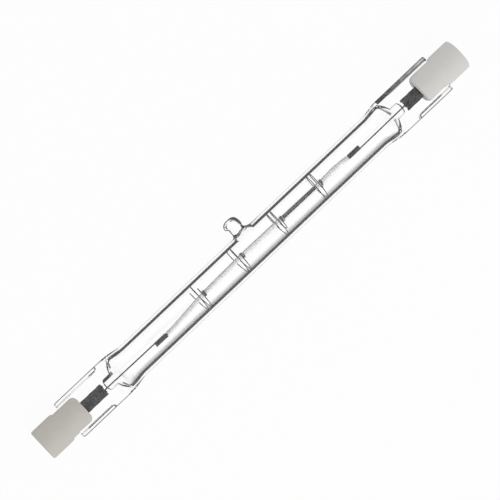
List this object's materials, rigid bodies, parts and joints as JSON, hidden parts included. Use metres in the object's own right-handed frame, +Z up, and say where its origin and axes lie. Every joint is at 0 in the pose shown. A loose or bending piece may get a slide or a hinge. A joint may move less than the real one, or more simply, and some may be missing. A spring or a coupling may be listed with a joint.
{
  "type": "infrared heat lamp",
  "caption": "Clear linear quartz heat lamp with flat pressed ends, ceramic caps with recessed contacts, a sealed exhaust tip and a coiled filament on spiral supports.",
  "frame": {"origin": "on the tube's axis, midway between the two contacts", "axes": "+X along the tube towards the right contact, +Z up; the lamp lies on its tube and on the ball of its exhaust tip, which points forwards (-Y) and down"},
  "size_m": [0.118, 0.0122, 0.008],
  "materials": {
    "quartz": "clear fused quartz, fire polished",
    "ceramic": "matte unglazed steatite",
    "cement": "rough dry cement",
    "contact_metal": "nickel plated",
    "molybdenum": "dull foil",
    "lead_wire": "drawn molybdenum wire",
    "tungsten": "drawn tungsten wire"
  },
  "bodies": {
    "root": {"quartz_envelope": "quartz", "ceramic_cap_left": "ceramic", "ceramic_cap_right": "ceramic", "cap_cement_left": "cement", "cap_cement_right": "cement", "contact_left": "contact_metal", "contact_right": "contact_metal", "seal_foil_left": "molybdenum", "seal_foil_right": "molybdenum", "inner_lead_left": "lead_wire", "inner_lead_right": "lead_wire", "outer_lead_left": "lead_wire", "outer_lead_right": "lead_wire", "filament_spud_left": "tungsten", "filament_spud_right": "tungsten", "filament_coil": "tungsten", "filament_support_1": "tungsten", "filament_support_2": "tungsten", "filament_support_3": "tungsten", "filament_support_4": "tungsten"}
  },
  "joints": []
}
